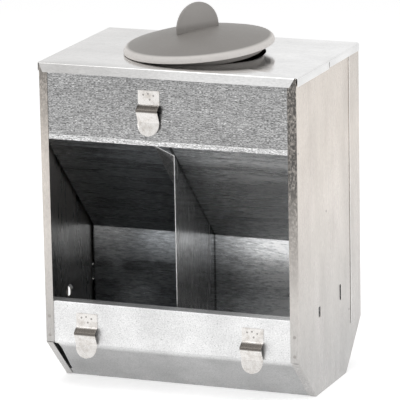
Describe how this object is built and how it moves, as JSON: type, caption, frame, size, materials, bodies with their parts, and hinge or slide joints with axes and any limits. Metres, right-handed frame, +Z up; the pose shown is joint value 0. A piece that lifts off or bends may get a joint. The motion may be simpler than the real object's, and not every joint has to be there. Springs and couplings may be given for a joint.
{
  "type": "gravity poultry feeder",
  "caption": "Free-standing sheet-metal gravity feeder with a filler hole and lid on top, open feeding places in front of a sloped hopper, a trough and spring wire clips.",
  "frame": {"origin": "on the flat underside, in the middle of the housing's width and depth", "axes": "+X to the right seen from the front, +Y from the front wall to the back panel, +Z up"},
  "size_m": [0.2432, 0.1675, 0.34],
  "materials": {
    "galvanised_sheet": "galvanised, satin, light warm grey",
    "galvanised_top": "galvanised, bright satin",
    "galvanised_band": "galvanised, fine streaks along the width",
    "galvanised_inner": "galvanised, half-mirror",
    "galvanised_trough": "galvanised, fine speckle",
    "clip_steel": "zinc-plated spring steel",
    "lid_plastic": "moulded, matte warm grey"
  },
  "bodies": {
    "housing": {"left_side_panel": "galvanised_sheet", "right_side_panel": "galvanised_sheet", "back_panel": "galvanised_sheet", "top_panel": "galvanised_top", "front_band": "galvanised_band", "hopper_sheet": "galvanised_inner", "trough": "galvanised_trough", "divider": "galvanised_inner", "top_clip_foot": "clip_steel", "left_clip_foot": "clip_steel", "right_clip_foot": "clip_steel"},
    "lid": {"filler_lid": "lid_plastic"},
    "top_tongue": {"top_clip_tongue": "clip_steel"},
    "left_tongue": {"left_clip_tongue": "clip_steel"},
    "right_tongue": {"right_clip_tongue": "clip_steel"}
  },
  "joints": [
    {"name": "lid_lift", "type": "slide", "parent": "housing", "child": "lid", "axis": [0, 0, 1], "range_m": [0, 0.08]},
    {"name": "top_tongue_flex", "type": "hinge", "parent": "housing", "child": "top_tongue", "pos_m": [-0.016, -0.0802, 0.2635], "axis": [-1, 0, 0], "range_deg": [0, 12], "stiffness_Nm_per_rad": 0.6},
    {"name": "left_tongue_flex", "type": "hinge", "parent": "housing", "child": "left_tongue", "pos_m": [-0.08, -0.0802, 0.0575], "axis": [-1, 0, 0], "range_deg": [0, 12], "stiffness_Nm_per_rad": 0.6},
    {"name": "right_tongue_flex", "type": "hinge", "parent": "housing", "child": "right_tongue", "pos_m": [0.077, -0.0802, 0.0575], "axis": [-1, 0, 0], "range_deg": [0, 12], "stiffness_Nm_per_rad": 0.6}
  ]
}
